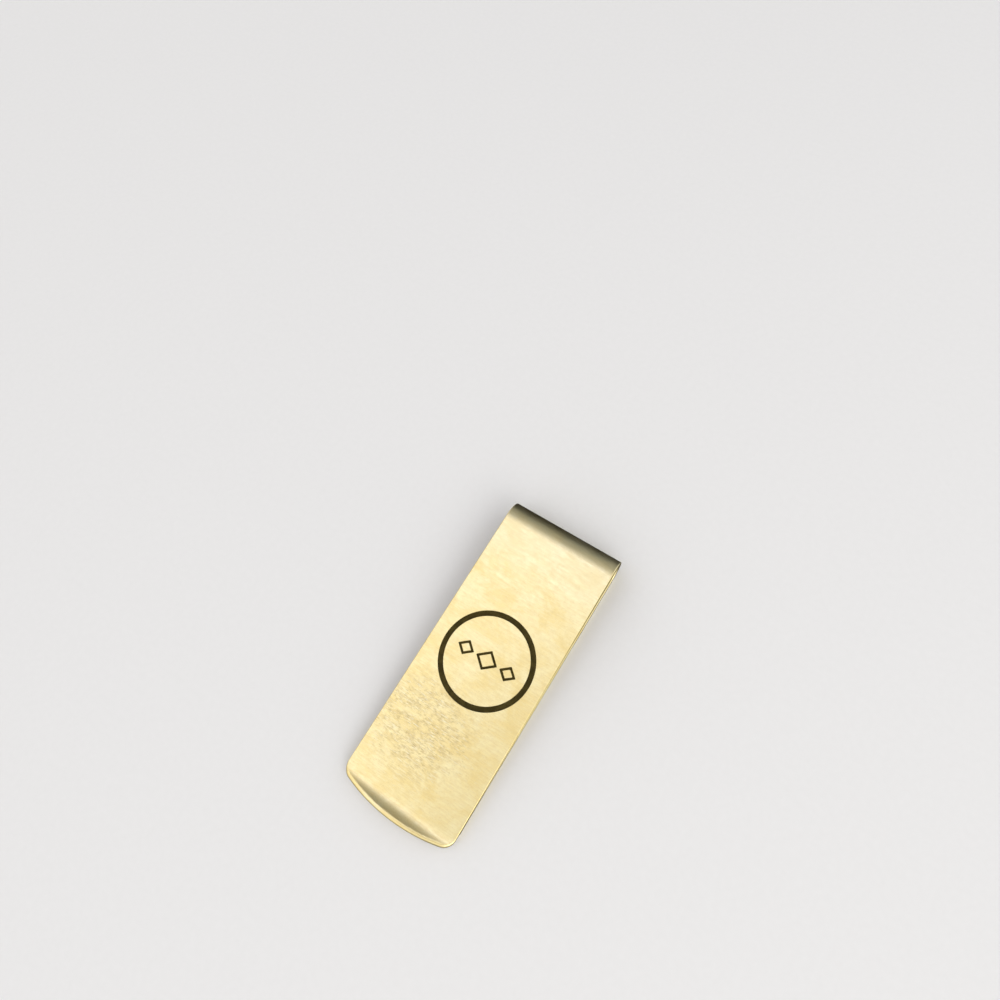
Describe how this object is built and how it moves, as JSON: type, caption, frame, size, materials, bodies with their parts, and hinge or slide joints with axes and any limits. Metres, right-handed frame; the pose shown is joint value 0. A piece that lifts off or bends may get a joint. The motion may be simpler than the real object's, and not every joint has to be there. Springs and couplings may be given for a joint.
{
  "type": "money clip",
  "caption": "Sprung brass money clip: a strip folded into a hairpin, with an up-flared lip and a dark enamelled ring and lozenge motif engraved in its front leaf.",
  "frame": {"origin": "bottom centre of the closed clip's bounding box; the back leaf's outer face lies on Z = 0", "axes": "+Y along the clip from its open end to the U-bend, +Z from the back leaf to the front leaf, +X across the strip"},
  "size_m": [0.022, 0.057, 0.0066],
  "materials": {
    "back_leaf": "satin-brushed across its width, with light handling marks",
    "bend": "satin-brushed across its width, with light handling marks",
    "front_leaf": "satin-brushed across its width, with light handling marks",
    "enamel_ring": "near-black enamel fill, low sheen",
    "enamel_motif": "near-black enamel fill, low sheen"
  },
  "bodies": {
    "back_leaf": {"back_leaf": "back_leaf"},
    "bend": {"bend": "bend"},
    "front_leaf": {"front_leaf": "front_leaf", "enamel_ring": "enamel_ring", "enamel_lozenge_left": "enamel_motif", "enamel_lozenge_middle": "enamel_motif", "enamel_lozenge_right": "enamel_motif"}
  },
  "joints": [
    {"name": "back_flex", "type": "hinge", "parent": "back_leaf", "child": "bend", "pos_m": [0, 0.02524, 0.00045], "axis": [-1, 0, 0], "range_deg": [0, 4.5], "stiffness_Nm_per_rad": 6.7, "springref_deg": -1.06},
    {"name": "front_flex", "type": "hinge", "parent": "bend", "child": "front_leaf", "pos_m": [0, 0.02498, 0.00614], "axis": [-1, 0, 0], "range_deg": [0, 4.5], "stiffness_Nm_per_rad": 6.7, "springref_deg": -1.06}
  ],
  "couplings": [
    {"joint": "front_flex", "follows": "back_flex", "ratio": 1}
  ]
}
